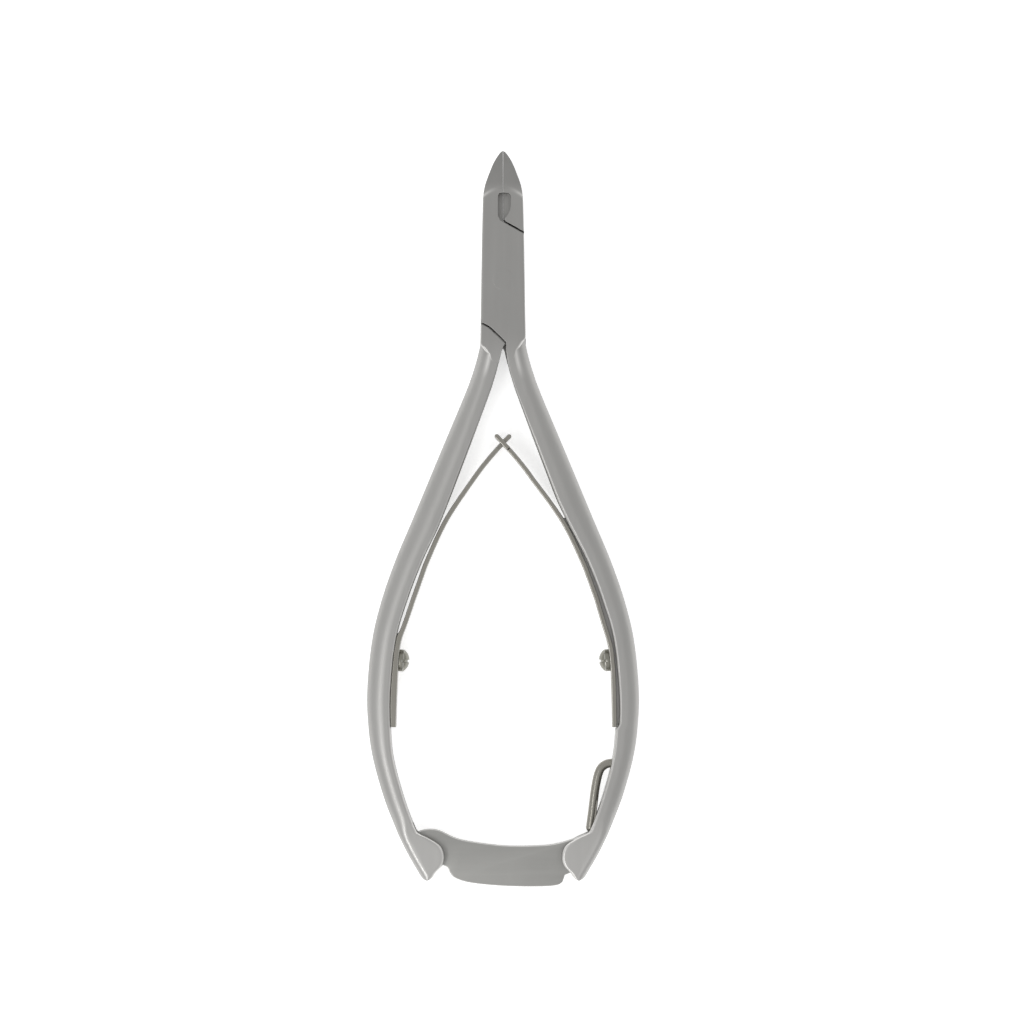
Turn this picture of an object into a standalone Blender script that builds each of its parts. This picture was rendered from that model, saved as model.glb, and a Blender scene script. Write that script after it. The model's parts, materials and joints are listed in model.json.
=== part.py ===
"""A lap-jointed cuticle nipper with two interlocked leaf springs and a lock bar, in metres.

It lies flat: +Z is its thickness, +Y points to the cutting tip, +X is to the right, and the
origin is on the joint rivet's axis in the plane of the rear face. The front lever holds the
left jaw and the right handle, the rear lever the right jaw and the left handle. Each lever is
the other one turned half a turn about the Y axis at mid thickness, apart from its fork.
"""

import math

import bmesh
import bpy
import numpy as np
from mathutils import Matrix, Vector

MM = 0.001

# Joint
THICKNESS = 6.4 * MM
MID = THICKNESS / 2
LAP_GAP = 0.08 * MM
SEAM_GAP = 0.25 * MM
CUT_GAP = 0.04 * MM
RIVET_RADIUS = 1.8 * MM
FIT_GAP = 0.03 * MM
DRILL_LENGTH = 9 * MM
EDGE_CHAMFER = 0.3 * MM
RIM_START = 3.25 * MM
RIM_LOW = -10.5 * MM
RIM_CLOSENESS = 1e-7

# Jaws: half width of the nose at each height, from the joint's side to the tip
NOSE = [
    (-11.2, 3.95), (-6.0, 3.82), (0.0, 3.74), (8.0, 3.60), (13.0, 3.48), (14.3, 3.41),
    (15.4, 3.27), (16.4, 3.05), (17.4, 2.72), (18.5, 2.31), (19.5, 1.93), (20.5, 1.47),
    (21.4, 0.92), (22.0, 0.48), (22.26, 0.15),
]
NOSE_SAMPLES = 160
OUTLINE_STEP = 0.1
GRIND_START = 15.0 * MM
GRIND_TIP_HALF = 0.7 * MM
GRIND_REACH = 1 * MM
GRIND_HALF_WIDTH = 6 * MM
TIP = 22.26 * MM

# Seams of the lap joint on the front face, as centre lines, and the throat between the jaws
UPPER_SEAM = [(3.62, 8.0), (1.6, 9.15), (-0.41, 10.25)]
LOWER_SEAM = [(-3.84, -7.5), (-2.45, -8.2), (-1.38, -9.15), (-0.29, -10.2), (0.45, -10.95)]
THROAT_TOP = 14.85
THROAT_WEB = [(-0.02, 15.5), (-1.8, 15.5), (-1.8, 10.6), (-0.75, 10.4), (-0.02, 10.4)]
WEB_HALF = 1.0 * MM
THROAT_LEFT = [(-0.62, 10.5), (-0.86, 10.85), (-0.86, 14.35), (-0.6, THROAT_TOP)]
THROAT_RIGHT = [
    (1.0, THROAT_TOP), (1.38, 14.3), (1.36, 12.6), (1.2, 11.9), (0.85, 11.1), (0.25, 10.42),
]

# Flat ends of the joint's faces, where the rounded right handle begins
FRONT_SHOULDER = [(0.55, -12.4), (1.05, -14.4), (1.75, -13.6), (3.9, -10.1)]
REAR_SHOULDER = [(0.25, -12.2), (0.75, -14.4), (1.75, -14.2), (3.94, -11.2)]
SHOULDER_CORE = [(0.8, -10.0), (2.2, -8.9), (3.8, -7.9), (3.85, -9.7), (0.8, -12.0)]
CORE_OVERLAP = 0.4 * MM

# Handle edges: height, outer side, inner side
HANDLE = [
    (-9.6, 3.78, 1.9), (-11.0, 3.88, 0.6), (-14.0, 4.6, 0.75), (-17.3, 5.65, 1.6),
    (-20.7, 6.98, 2.75), (-29.3, 10.6, 5.95), (-41.4, 15.65, 10.65), (-48.3, 18.55, 13.85),
    (-55.2, 20.95, 16.5), (-62.1, 22.6, 18.5), (-70.7, 23.45, 19.4), (-77.1, 23.25, 19.4),
    (-82.8, 22.4, 18.85), (-89.7, 20.45, 17.0), (-94.6, 18.5, 15.15),
]
END_OUTER = [
    (-96.5, 17.65), (-99.0, 16.4), (-101.6, 14.9), (-102.7, 14.25), (-103.25, 13.8), (-103.5, 13.3),
]
END_INNER = [(-95.5, 14.35), (-96.1, 13.0), (-96.85, 11.7)]
END_TIP = [(-102.3, 11.7), (-102.95, 12.1), (-103.35, 12.55), (-103.5, 12.95)]
LOBE_CENTRE = (13.0, -99.45)
LOBE_RADIUS = 2.9
LOBE_ARC = (-97.3, -101.7)
LOBE_FADE = 2.0
HALF_DEPTH_TOP = 3.1 * MM
HALF_DEPTH_END = 2.7 * MM
LONG_RINGS = 44
END_RINGS = 30
END_START = -94.0
EDGE_SAMPLES = 900
QUARTER_POINTS = 5
# Rounding of the section's corners as a share of its width and of its half depth
OUTER_ROUNDING = (0.62, 0.8)
INNER_ROUNDING = (0.1, 0.2)
MOST_ROUNDING = 0.62
LOBE_OUTER_ROUNDING = (1.4 * MM, 1.2 * MM)
LOBE_INNER_ROUNDING = (0.35 * MM, 0.35 * MM)

# Leaf springs: centre line of the left one, from its foot to its tip
LEAF = [
    (-18.85, -77.1), (-18.72, -72.5), (-18.4, -65.6), (-17.85, -62.1), (-16.55, -58.7),
    (-14.1, -51.8), (-12.85, -48.3), (-9.7, -41.4), (-5.2, -34.5), (-2.6, -31.06), (0.0, -28.1),
    (1.35, -26.7),
]
LEAF_SAMPLES = 90
LEAF_THICKNESS = 0.8
LEAF_HALF_WIDTH = 2.1 * MM
SPLIT_HEIGHT = -62.6
SPLIT_GAP = 0.2
TONGUE_HALF_WIDTH = 0.7 * MM
FORK_SLOT_HALF_WIDTH = 0.95 * MM
TONGUE_SHOULDER = -29.06 * MM
LEAF_CUT_REACH = 5 * MM
SCREW_HEIGHT = -65.6
SCREW_RADIUS = 0.95 * MM
SCREW_HEAD_RADIUS = 1.9 * MM
SCREW_HEAD_HEIGHT = 1.5 * MM
# Share of the head's height: its straight side, its dome, and how far the dome starts from the seat
HEAD_SIDE, HEAD_DOME, HEAD_DOME_MIDDLE = 0.6, 0.5, 0.75
HEAD_DOME_ENDS = (0.96, 0.6)
HEAD_CLEARANCE = 0.03
SCREW_OVERLAP = 0.45 * MM
SCREW_LENGTH = 2.6 * MM
DRIVER_SLOT_HALF = (0.45 * MM, 0.25 * MM)

# Lock bar, its rivet, the catch pin and the wire spring
BAR_HALF = 0.8 * MM
FORK_HALF = 0.98 * MM
BAR_TOP = [
    (-14.9, -95.7), (-14.4, -95.1), (-12.7, -94.78), (-10.9, -95.05), (-8.2, -96.3),
    (-5.1, -97.0), (0.6, -97.65), (6.4, -97.6), (9.3, -97.25), (12.1, -96.45), (13.9, -95.75),
    (15.0, -95.45),
]
BAR_HEEL = [
    (15.6, -96.2), (15.75, -98.0), (15.4, -100.4), (13.9, -101.9), (12.0, -102.2), (10.7, -102.7),
]
BAR_BOTTOM = [
    (10.3, -103.9), (9.3, -104.45), (6.4, -104.68), (0.6, -104.6), (-5.1, -104.1),
    (-8.0, -103.35), (-9.1, -102.4), (-9.7, -101.3), (-11.6, -100.7),
]
NOTCH_HALF = 0.66
NOTCH_TOP = -98.78
HOOK_WIDTH = 1.05
HOOK_TOP = -97.5
HOOK_BOTTOM = -100.15
PIN_RADIUS = 0.6 * MM
PIN_SET_BACK = 0.1 * MM
BAR_RIVET_RADIUS = 1.0 * MM
SLOT_TOP_RIGHT = -90.0 * MM
SLOT_TOP_LEFT = -93.6 * MM
SLOT_BOTTOM = -110 * MM
SLOT_SIDES = (7.0 * MM, 21.0 * MM)
WIRE_RADIUS = 0.7 * MM
WIRE = [
    (20.3, -83.0), (19.2, -83.02), (17.9, -83.2), (16.95, -83.95), (16.35, -85.4),
    (15.95, -88.0), (15.65, -91.0), (15.4, -93.2), (15.28, -94.55),
]
WIRE_SAMPLES = 34
WIRE_HOLE_RADIUS = 0.85 * MM
WIRE_HOLE_EXTRA = 0.4 * MM


def clear_scene():
    for obj in list(bpy.data.objects):
        bpy.data.objects.remove(obj, do_unlink=True)


def metal(name, colour, roughness):
    material = bpy.data.materials.new(name)
    material.use_nodes = True
    shader = material.node_tree.nodes["Principled BSDF"]
    shader.inputs["Base Color"].default_value = (*colour, 1.0)
    shader.inputs["Metallic"].default_value = 1.0
    shader.inputs["Roughness"].default_value = roughness
    return material


def add_mesh(name, mesh, material=None, origin=(0.0, 0.0, 0.0)):
    """An object whose own origin stands at origin, with its shape left where it is."""
    mesh.transform(Matrix.Translation(-Vector(origin)))
    obj = bpy.data.objects.new(name, mesh)
    obj.location = origin
    bpy.context.scene.collection.objects.link(obj)
    if material:
        mesh.materials.append(material)
    return obj


def on_rim(point, height):
    """Whether a corner lies on the joint's outer side, between its shoulders and the ground nose."""
    outer = RIM_START < abs(point.x) and RIM_LOW < point.y < GRIND_START
    return outer and abs(point.z - height) < RIM_CLOSENESS


def plate(name, outline, low, high, rim_height=None):
    """A flat plate: the outline, in mm, raised from low to high.

    With rim_height, the joint's outer edges at that height are chamfered.
    """
    shape = bmesh.new()
    corners = [shape.verts.new((x * MM, y * MM, low)) for x, y in outline]
    face = shape.faces.new(corners)
    raised = bmesh.ops.extrude_face_region(shape, geom=[face])
    top = [v for v in raised["geom"] if isinstance(v, bmesh.types.BMVert)]
    bmesh.ops.translate(shape, verts=top, vec=(0, 0, high - low))
    bmesh.ops.recalc_face_normals(shape, faces=shape.faces)
    if rim_height is not None:
        rim = [edge for edge in shape.edges if all(on_rim(v.co, rim_height) for v in edge.verts)]
        bmesh.ops.bevel(shape, geom=rim, offset=EDGE_CHAMFER, segments=1, affect="EDGES")
    mesh = bpy.data.meshes.new(name)
    shape.to_mesh(mesh)
    shape.free()
    return mesh


def rod(name, start, direction, radius, length, sides=32):
    """A straight round rod from start along direction."""
    shape = bmesh.new()
    bmesh.ops.create_cone(
        shape, cap_ends=True, segments=sides, radius1=radius, radius2=radius, depth=length
    )
    turn = Vector((0, 0, 1)).rotation_difference(Vector(direction)).to_matrix().to_4x4()
    place = Matrix.Translation(Vector(start)) @ turn @ Matrix.Translation((0, 0, length / 2))
    bmesh.ops.transform(shape, matrix=place, verts=shape.verts)
    mesh = bpy.data.meshes.new(name)
    shape.to_mesh(mesh)
    shape.free()
    return mesh


def box(name, low, high):
    """A box between two corners, in metres."""
    shape = bmesh.new()
    bmesh.ops.create_cube(shape, size=1.0)
    size, middle = Vector(high) - Vector(low), (Vector(high) + Vector(low)) / 2
    place = Matrix.Translation(middle) @ Matrix.Diagonal((*size, 1.0))
    bmesh.ops.transform(shape, matrix=place, verts=shape.verts)
    mesh = bpy.data.meshes.new(name)
    shape.to_mesh(mesh)
    shape.free()
    return mesh


def tool(mesh):
    """A hidden helper that a Boolean uses."""
    obj = add_mesh(mesh.name, mesh)
    obj.hide_render = True
    obj.display_type = "WIRE"
    return obj


def combine(obj, operation, *meshes, solver="EXACT"):
    for mesh in meshes:
        modifier = obj.modifiers.new(mesh.name, "BOOLEAN")
        modifier.operation = operation
        modifier.solver = solver
        modifier.object = tool(mesh)


def smooth_line(points, count):
    """A Catmull-Rom curve through the points, evenly spaced along its length."""
    p = np.array(points, float)
    ends = np.vstack([2 * p[0] - p[1], p, 2 * p[-1] - p[-2]])
    t = np.linspace(0, 1, 24, endpoint=False)[:, None]
    pieces = []
    for a, b, c, d in zip(ends, ends[1:], ends[2:], ends[3:]):
        square = 2 * a - 5 * b + 4 * c - d
        cube = 3 * b - a - 3 * c + d
        pieces.append((2 * b + (c - a) * t + square * t**2 + cube * t**3) / 2)
    fine = np.vstack(pieces + [p[-1:]])
    along = np.r_[0, np.cumsum(np.linalg.norm(np.diff(fine, axis=0), axis=1))]
    even = np.linspace(0, along[-1], count)
    return np.column_stack([np.interp(even, along, fine[:, k]) for k in range(fine.shape[1])])


def moved_sideways(points, distance):
    """The line moved to the left of its own direction by distance."""
    p = np.array(points, float)
    way = np.gradient(p, axis=0)
    way /= np.linalg.norm(way, axis=1)[:, None]
    return p + distance * np.column_stack([-way[:, 1], way[:, 0]])


def mirrored(points):
    return [(-x, y) for x, y in points][::-1]


def nose_side(low, high, count):
    """The right side of the nose from height low to high."""
    heights, widths = smooth_line(NOSE, NOSE_SAMPLES).T
    y = np.linspace(low, high, count)
    return list(zip(np.interp(y, heights, widths), y))


def joint_outlines():
    """The front lever's outlines, in mm: its front half, its rear jaw and its rear shoulder."""
    half = SEAM_GAP / MM / 2
    cut = CUT_GAP / MM / 2
    upper = smooth_line(UPPER_SEAM, 8)
    lower = smooth_line(LOWER_SEAM, 12)
    cheek_top = moved_sideways(upper, half)
    cheek_low = moved_sideways(lower, half)
    jaw_low = moved_sideways(upper, -half)[::-1]
    handle_top = moved_sideways(lower, -half)
    tip = TIP / MM
    left_side = mirrored(nose_side(cheek_low[0][1] + OUTLINE_STEP, tip, 34))
    right_side = nose_side(FRONT_SHOULDER[-1][1] + 3 * OUTLINE_STEP, cheek_top[0][1] - OUTLINE_STEP, 10)
    front = left_side + as_points(cheek_low) + FRONT_SHOULDER + right_side
    front += as_points(cheek_top) + THROAT_LEFT + [(-cut, THROAT_TOP), (-cut, tip)]
    jaw = [(cut, tip), (cut, THROAT_TOP)] + THROAT_RIGHT
    jaw += as_points(jaw_low[jaw_low[:, 0] > THROAT_RIGHT[-1][0]])
    jaw += nose_side(jaw_low[-1][1] + OUTLINE_STEP, tip, 26)
    shoulder = as_points(handle_top) + [(-x, y) for x, y in REAR_SHOULDER]
    return front, mirrored(jaw), mirrored(shoulder)


def as_points(rows):
    return [tuple(row) for row in rows]


def handle_edges(heights):
    """The right handle's outer and inner sides, in mm, at each height down to the fork's end."""
    stations = np.array(HANDLE)
    outer = np.vstack([stations[:, [0, 1]], END_OUTER])
    arc = np.linspace(*LOBE_ARC, 18)
    reach = np.sqrt(LOBE_RADIUS**2 - (arc - LOBE_CENTRE[1]) ** 2)
    lobe = np.column_stack([arc, LOBE_CENTRE[0] - reach])
    inner = np.vstack([stations[:, [0, 2]], END_INNER, lobe, END_TIP])
    sides = []
    for line in (outer, inner):
        fine = smooth_line(line, EDGE_SAMPLES)[::-1]
        sides.append(np.interp(heights, fine[:, 0], fine[:, 1]))
    return sides


def handle_mesh(name):
    """The right handle: rounded sections at falling heights, joined ring to ring and capped."""
    top, bottom = HANDLE[0][0], END_OUTER[-1][0]
    long_run = np.linspace(top, END_START, LONG_RINGS)[:-1]
    heights = np.r_[long_run, np.linspace(END_START, bottom, END_RINGS)]
    outer, inner = (side * MM for side in handle_edges(heights))
    along = np.clip((heights - top) / (END_START - top), 0, 1)
    depth = HALF_DEPTH_TOP + (HALF_DEPTH_END - HALF_DEPTH_TOP) * along
    lobe = np.clip((HANDLE[-1][0] - heights) / LOBE_FADE, 0, 1)
    width = outer - inner
    radii = []
    for share, size in (
        (OUTER_ROUNDING, LOBE_OUTER_ROUNDING),
        (INNER_ROUNDING, LOBE_INNER_ROUNDING),
    ):
        across = (1 - lobe) * share[0] * width + lobe * size[0]
        deep = (1 - lobe) * share[1] * depth + lobe * size[1]
        radii.append((np.minimum(across, MOST_ROUNDING * width), deep))
    rings = []
    for quarter in range(4):
        angle = np.linspace(quarter, quarter + 1, QUARTER_POINTS + 1) * math.pi / 2
        on_outer = quarter in (0, 3)
        across, deep = radii[0] if on_outer else radii[1]
        centre_x = outer - across if on_outer else inner + across
        centre_z = (depth - deep) * (1 if quarter < 2 else -1)
        x = centre_x[:, None] + across[:, None] * np.cos(angle)
        z = MID + centre_z[:, None] + deep[:, None] * np.sin(angle)
        rings.append(np.stack([x, np.broadcast_to(heights[:, None] * MM, x.shape), z], axis=-1))
    grid = np.concatenate(rings, axis=1)
    count, around = grid.shape[:2]
    index = np.arange(count * around).reshape(count, around)
    following = np.roll(index, -1, axis=1)
    sides = np.stack([index[:-1], following[:-1], following[1:], index[1:]], axis=-1).reshape(-1, 4)
    faces = sides.tolist() + [index[0][::-1].tolist(), index[-1].tolist()]
    mesh = bpy.data.meshes.new(name)
    mesh.from_pydata(grid.reshape(-1, 3).tolist(), [], faces)
    shape = bmesh.new()
    shape.from_mesh(mesh)
    bmesh.ops.remove_doubles(shape, verts=shape.verts, dist=1e-7)
    bmesh.ops.recalc_face_normals(shape, faces=shape.faces)
    shape.to_mesh(mesh)
    shape.free()
    return mesh


def grind_cutter(name, rear):
    """A wedge that slopes one face of the nose down to a thin tip."""
    reach = TIP + GRIND_REACH
    above = THICKNESS + GRIND_REACH
    drop = (MID - GRIND_TIP_HALF) * (reach - GRIND_START) / (TIP - GRIND_START)
    side = [(GRIND_START, THICKNESS), (reach, THICKNESS - drop), (reach, above), (GRIND_START, above)]
    shape = bmesh.new()
    ends = []
    for x in (-GRIND_HALF_WIDTH, GRIND_HALF_WIDTH):
        ends.append([shape.verts.new((x, y, THICKNESS - z if rear else z)) for y, z in side])
    shape.faces.new(ends[0])
    shape.faces.new(ends[1])
    for k in range(len(side)):
        after = (k + 1) % len(side)
        shape.faces.new([ends[0][k], ends[0][after], ends[1][after], ends[1][k]])
    bmesh.ops.recalc_face_normals(shape, faces=shape.faces)
    mesh = bpy.data.meshes.new(name)
    shape.to_mesh(mesh)
    shape.free()
    return mesh


def screw_line(side):
    """Where the spring screw crosses the leaf, and its direction out into the handle."""
    line = smooth_line(LEAF, 200)
    at = np.argmin(abs(line[:, 1] - SCREW_HEIGHT))
    way = line[at + 3] - line[at - 3]
    way /= np.linalg.norm(way)
    centre = Vector((-side * line[at][0] * MM, line[at][1] * MM, MID))
    return centre, Vector((side * way[1], way[0], 0))


def lever(name, side, material):
    """The front lever, whose handle is on the right, or with side -1 the rear one.

    Its plates share many faces and edges, at which the EXACT solver loses the whole body when
    the fork's slot is cut, so its Booleans use MANIFOLD.
    """
    front, jaw, shoulder = joint_outlines()
    turn = Matrix.Identity(4)
    if side < 0:
        turn = Matrix.Translation((0, 0, THICKNESS)) @ Matrix.Rotation(math.pi, 4, "Y")
    gap = LAP_GAP / 2
    body = plate(name, front, MID + gap, THICKNESS, rim_height=THICKNESS)
    added = [
        plate(name + "_jaw", jaw, 0, MID + CORE_OVERLAP, rim_height=0.0),
        plate(name + "_shoulder", shoulder, 0, MID - gap, rim_height=0.0),
        plate(name + "_web", THROAT_WEB, MID - WEB_HALF, MID + WEB_HALF),
        plate(name + "_core", SHOULDER_CORE, CORE_OVERLAP, MID + CORE_OVERLAP),
        handle_mesh(name + "_handle"),
    ]
    cut = [grind_cutter(name + "_grind_front", False), grind_cutter(name + "_grind_rear", True)]
    for mesh in [body] + added + cut:
        mesh.transform(turn)
    centre, outwards = screw_line(side)
    bore = RIVET_RADIUS + FIT_GAP
    cut.append(rod(name + "_rivet_hole", (0, 0, -MM), (0, 0, 1), bore, DRILL_LENGTH, 48))
    bore = SCREW_RADIUS + FIT_GAP
    cut.append(rod(name + "_screw_hole", centre, outwards, bore, SCREW_LENGTH, 24))
    slot_top = SLOT_TOP_RIGHT if side > 0 else SLOT_TOP_LEFT
    slot_left, slot_right = sorted(side * x for x in SLOT_SIDES)
    low = (slot_left, SLOT_BOTTOM, MID - FORK_HALF)
    high = (slot_right, slot_top, MID + FORK_HALF)
    cut.append(box(name + "_slot", low, high))
    bore = (BAR_RIVET_RADIUS if side > 0 else PIN_RADIUS) + FIT_GAP
    at = (side * LOBE_CENTRE[0] * MM, LOBE_CENTRE[1] * MM, -MM)
    cut.append(rod(name + "_fork_hole", at, (0, 0, 1), bore, DRILL_LENGTH, 24))
    if side > 0:
        start = (WIRE[2][0] * MM, WIRE[0][1] * MM, MID)
        length = (WIRE[0][0] - WIRE[2][0]) * MM + WIRE_HOLE_EXTRA
        cut.append(rod(name + "_wire_hole", start, (1, 0, 0), WIRE_HOLE_RADIUS, length, 20))
    obj = add_mesh(name, body, material)
    combine(obj, "UNION", *added, solver="MANIFOLD")
    combine(obj, "DIFFERENCE", *cut, solver="MANIFOLD")


def leaf_pieces(name, side, material):
    """One leaf spring as its clamped foot and its flexing blade, which meet above the screw."""
    line = smooth_line(LEAF, LEAF_SAMPLES)
    line[:, 0] *= -side
    half_gap = SPLIT_GAP / 2
    foot = line[line[:, 1] < SPLIT_HEIGHT - half_gap]
    blade = line[line[:, 1] > SPLIT_HEIGHT + half_gap]
    root = np.array([np.interp(SPLIT_HEIGHT, line[:, 1], line[:, 0]), SPLIT_HEIGHT])
    low, high = MID - LEAF_HALF_WIDTH, MID + LEAF_HALF_WIDTH
    for part, stretch, origin in (("foot", foot, (0, 0, 0)), ("blade", blade, (*(root * MM), MID))):
        left = as_points(moved_sideways(stretch, LEAF_THICKNESS / 2))
        right = as_points(moved_sideways(stretch, -LEAF_THICKNESS / 2))
        full_name = f"{name}_{part}"
        obj = add_mesh(full_name, plate(full_name, left + right[::-1], low, high), material, origin)
        if part == "foot":
            centre, outwards = screw_line(side)
            start = centre - outwards * 2 * MM
            hole = rod(full_name + "_hole", start, outwards, SCREW_RADIUS + FIT_GAP, 4 * MM, 24)
            combine(obj, "DIFFERENCE", hole)
        elif side > 0:
            slot = tip_cutter(full_name + "_slot", -FORK_SLOT_HALF_WIDTH, FORK_SLOT_HALF_WIDTH)
            combine(obj, "DIFFERENCE", slot)
        else:
            beyond = LEAF_HALF_WIDTH + MM
            front = tip_cutter(full_name + "_front_cut", TONGUE_HALF_WIDTH, beyond)
            rear = tip_cutter(full_name + "_rear_cut", -beyond, -TONGUE_HALF_WIDTH)
            combine(obj, "DIFFERENCE", front, rear)


def tip_cutter(name, low, high):
    """A box over the crossing ends of the leaves, from low to high about mid thickness."""
    start = (-LEAF_CUT_REACH, TONGUE_SHOULDER, MID + low)
    return box(name, start, (LEAF_CUT_REACH, 0, MID + high))


def spring_screw(name, side, material):
    """A slotted screw: shank in the handle, domed head on the leaf."""
    centre, outwards = screw_line(side)
    seat = centre - outwards * (LEAF_THICKNESS / 2 + HEAD_CLEARANCE) * MM
    rise = SCREW_HEAD_HEIGHT
    body = rod(name, seat, -outwards, SCREW_HEAD_RADIUS, HEAD_SIDE * rise)
    wide, narrow = (share * SCREW_HEAD_RADIUS for share in HEAD_DOME_ENDS)
    dome = bmesh.new()
    bmesh.ops.create_cone(
        dome, cap_ends=True, segments=32, radius1=wide, radius2=narrow, depth=HEAD_DOME * rise
    )
    turn = Vector((0, 0, 1)).rotation_difference(-outwards).to_matrix().to_4x4()
    place = Matrix.Translation(seat - outwards * HEAD_DOME_MIDDLE * rise) @ turn
    bmesh.ops.transform(dome, matrix=place, verts=dome.verts)
    dome_mesh = bpy.data.meshes.new(name + "_dome")
    dome.to_mesh(dome_mesh)
    dome.free()
    obj = add_mesh(name, body, material)
    start = seat - outwards * SCREW_OVERLAP
    shank = rod(name + "_shank", start, outwards, SCREW_RADIUS, SCREW_LENGTH + 0.2 * MM, 24)
    combine(obj, "UNION", dome_mesh, shank)
    tip = seat - outwards * rise
    across, along = DRIVER_SLOT_HALF
    low = (tip.x - across, tip.y - along, 0)
    high = (tip.x + across, tip.y + along, THICKNESS)
    combine(obj, "DIFFERENCE", box(name + "_slot", low, high))


def lock_bar(name, material):
    """The flat bar: a pivot hole at its right end, a notch over the catch pin at its left end."""
    catch_x = -LOBE_CENTRE[0]
    right, left = catch_x + NOTCH_HALF, catch_x - NOTCH_HALF
    notch = [
        (right, BAR_BOTTOM[-1][1]), (right, NOTCH_TOP), (left, NOTCH_TOP), (left, HOOK_BOTTOM),
        (left - HOOK_WIDTH, HOOK_BOTTOM), (left - HOOK_WIDTH, HOOK_TOP),
    ]
    outline = as_points(smooth_line(BAR_TOP, 48)) + as_points(smooth_line(BAR_HEEL, 16))
    outline += as_points(smooth_line(BAR_BOTTOM, 40)) + notch
    pivot = (LOBE_CENTRE[0] * MM, LOBE_CENTRE[1] * MM, MID)
    obj = add_mesh(name, plate(name, outline, MID - BAR_HALF, MID + BAR_HALF), material, pivot)
    start = (pivot[0], pivot[1], 0)
    hole = rod(name + "_hole", start, (0, 0, 1), BAR_RIVET_RADIUS + 2 * FIT_GAP, THICKNESS, 24)
    combine(obj, "DIFFERENCE", hole)


def fork_pin(name, side, radius, material):
    """A flush pin through one fork and its lobe."""
    length = 2 * HALF_DEPTH_END - PIN_SET_BACK
    start = (side * LOBE_CENTRE[0] * MM, LOBE_CENTRE[1] * MM, MID - length / 2)
    add_mesh(name, rod(name, start, (0, 0, 1), radius, length, 24), material)


def wire_spring(name, material):
    """The bent wire between the right handle and the lock bar's heel."""
    points = smooth_line(WIRE, WIRE_SAMPLES) * MM
    anchor = Vector((WIRE[1][0] * MM, WIRE[1][1] * MM, MID))
    curve = bpy.data.curves.new(name, "CURVE")
    curve.dimensions = "3D"
    curve.bevel_depth = WIRE_RADIUS
    curve.bevel_resolution = 3
    curve.use_fill_caps = True
    spline = curve.splines.new("POLY")
    spline.points.add(len(points) - 1)
    for point, (x, y) in zip(spline.points, points):
        point.co = (x - anchor.x, y - anchor.y, 0, 1)
    curve.materials.append(material)
    obj = bpy.data.objects.new(name, curve)
    obj.location = anchor
    bpy.context.scene.collection.objects.link(obj)


def build():
    clear_scene()
    satin = metal("satin_steel", (0.32, 0.32, 0.31), 0.38)
    spring = metal("spring_steel", (0.45, 0.45, 0.44), 0.3)
    fixing = metal("fixing_steel", (0.38, 0.37, 0.36), 0.32)
    bar = metal("bar_steel", (0.33, 0.33, 0.32), 0.42)
    lever("front_lever", 1, satin)
    lever("rear_lever", -1, satin)
    joint = rod("joint_rivet", (0, 0, 0), (0, 0, 1), RIVET_RADIUS, THICKNESS, 48)
    add_mesh("joint_rivet", joint, fixing)
    for word, side in (("right", 1), ("left", -1)):
        leaf_pieces(f"{word}_spring", side, spring)
        spring_screw(f"{word}_spring_screw", side, fixing)
    lock_bar("lock_bar", bar)
    fork_pin("lock_bar_rivet", 1, BAR_RIVET_RADIUS, fixing)
    fork_pin("catch_pin", -1, PIN_RADIUS, fixing)
    wire_spring("lock_wire_spring", spring)


build()
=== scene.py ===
import json
import math

import bpy
import numpy as np
from bpy.props import FloatProperty, FloatVectorProperty, IntProperty, PointerProperty
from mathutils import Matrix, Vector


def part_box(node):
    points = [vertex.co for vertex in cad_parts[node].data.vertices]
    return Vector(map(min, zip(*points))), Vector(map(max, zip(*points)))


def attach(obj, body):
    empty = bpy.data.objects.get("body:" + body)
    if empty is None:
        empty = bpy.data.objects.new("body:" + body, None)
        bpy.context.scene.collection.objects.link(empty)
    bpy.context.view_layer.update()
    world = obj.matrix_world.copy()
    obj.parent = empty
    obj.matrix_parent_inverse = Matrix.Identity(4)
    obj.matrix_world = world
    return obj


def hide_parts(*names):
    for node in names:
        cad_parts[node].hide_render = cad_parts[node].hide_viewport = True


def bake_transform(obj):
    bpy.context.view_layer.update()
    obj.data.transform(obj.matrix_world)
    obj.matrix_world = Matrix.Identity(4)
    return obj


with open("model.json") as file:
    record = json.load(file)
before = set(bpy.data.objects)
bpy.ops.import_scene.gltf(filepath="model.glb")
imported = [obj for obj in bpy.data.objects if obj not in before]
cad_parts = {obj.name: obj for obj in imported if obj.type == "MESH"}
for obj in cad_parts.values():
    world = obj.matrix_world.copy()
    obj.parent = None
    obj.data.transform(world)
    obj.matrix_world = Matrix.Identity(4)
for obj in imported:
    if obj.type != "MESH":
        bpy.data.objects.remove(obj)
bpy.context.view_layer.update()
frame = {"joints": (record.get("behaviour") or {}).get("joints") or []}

bl_info = {
    "name": "Cuticle Nipper",
    "version": (1, 0, 0),
    "blender": (4, 5, 0),
    "location": "View3D > Sidebar > Nipper",
    "description": "Builds the finished surfaces of a cuticle nipper over its CAD frame",
    "category": "Object",
}

MM = 0.001
JOINTS = {joint["name"]: joint for joint in frame["joints"]}


def corners(node):
    """The lowest and highest corner of a CAD node as arrays, in metres."""
    low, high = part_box(node)
    return np.array(low), np.array(high)


THICKNESS = corners("joint_rivet")[1][2]
MID = THICKNESS / 2
TIP = corners("front_lever")[1][1]
BAR_PIVOT = np.array(JOINTS["lock_bar_pivot"]["pos_m"])
BAR_LOW, BAR_HIGH = corners("lock_bar")
SPRING_LOW, SPRING_HIGH = corners("right_spring_blade")

# From here on a plain length is in mm, and one times MM is in metres

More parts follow.
